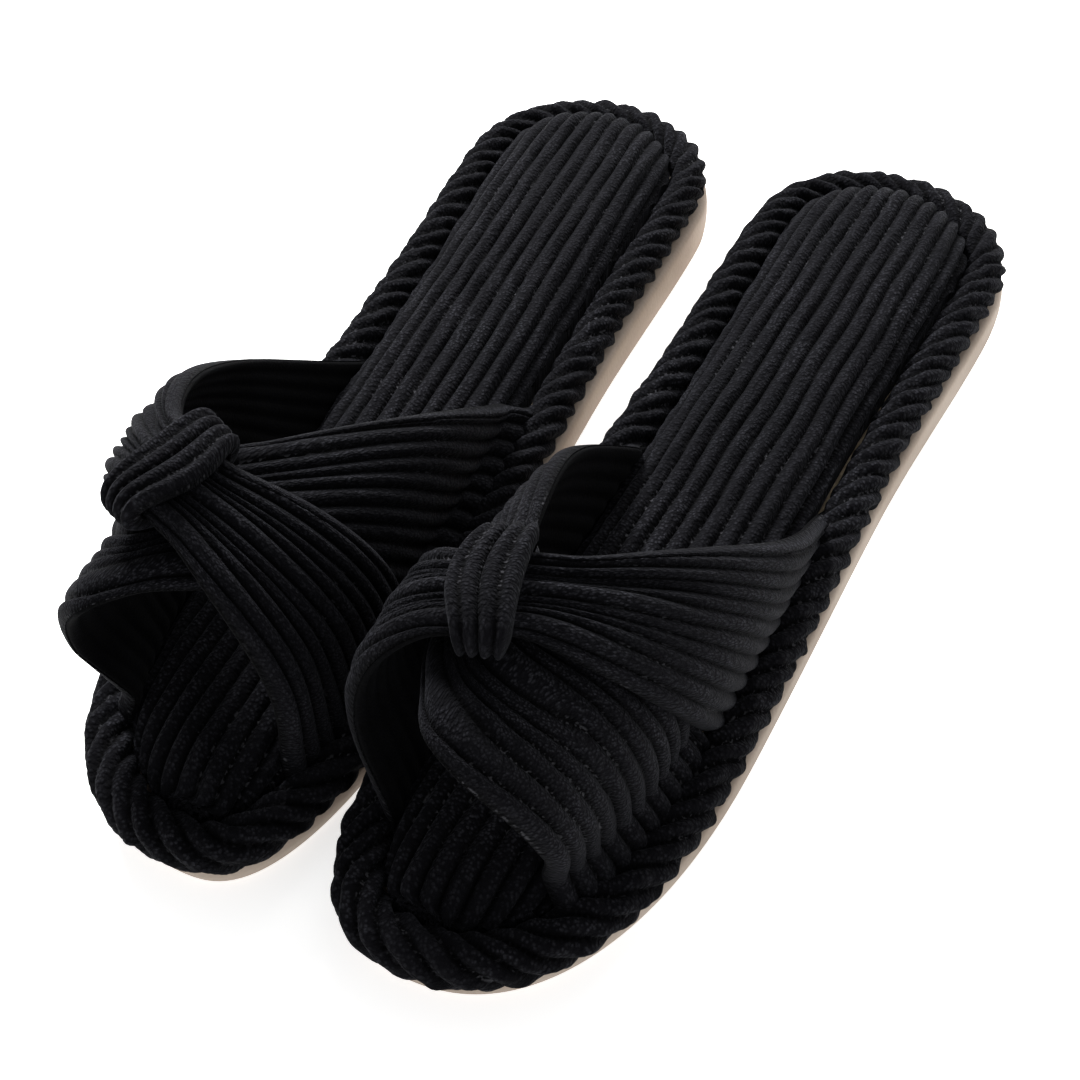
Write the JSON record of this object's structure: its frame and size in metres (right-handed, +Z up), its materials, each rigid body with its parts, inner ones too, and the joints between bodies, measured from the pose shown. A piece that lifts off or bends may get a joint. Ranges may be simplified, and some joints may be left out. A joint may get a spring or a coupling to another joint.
{
  "type": "pair of spa slippers",
  "caption": "Soft open-toe, open-back spa slippers with crossed corduroy bands, a padded ribbed footbed, a rope-like corded rim and a smooth wedge sole.",
  "frame": {"origin": "on the floor, in the middle of the box that holds both slippers", "axes": "+Z up, toes point to -Y, heels to +Y, the wearer's left slipper on the +X side"},
  "size_m": [0.1544, 0.2643, 0.0731],
  "materials": {
    "sole": "smooth matt moulded foam rubber",
    "board": "matt fibre board",
    "foam": "soft open-cell foam",
    "corduroy": "soft wide-wale plush corduroy",
    "cord": "soft filler cord",
    "thread": "twisted sewing thread",
    "lining": "brushed plain lining"
  },
  "bodies": {
    "left_slipper": {"left_outsole": "sole", "left_insole_board": "board", "left_foam_pad": "foam", "left_footbed_cover": "corduroy", "left_rim_cord": "cord", "left_rim_binding": "corduroy", "left_seam_thread": "thread", "left_over_band": "corduroy", "left_over_band_lining": "lining", "left_under_band": "corduroy", "left_under_band_lining": "lining", "left_knot_loop": "corduroy"},
    "right_slipper": {"right_outsole": "sole", "right_insole_board": "board", "right_foam_pad": "foam", "right_footbed_cover": "corduroy", "right_rim_cord": "cord", "right_rim_binding": "corduroy", "right_seam_thread": "thread", "right_over_band": "corduroy", "right_over_band_lining": "lining", "right_under_band": "corduroy", "right_under_band_lining": "lining", "right_knot_loop": "corduroy"}
  },
  "joints": [
    {"name": "right_slipper_lift", "type": "slide", "parent": "left_slipper", "child": "right_slipper", "axis": [0, 0, 1], "range_m": [0, 0.15]}
  ]
}
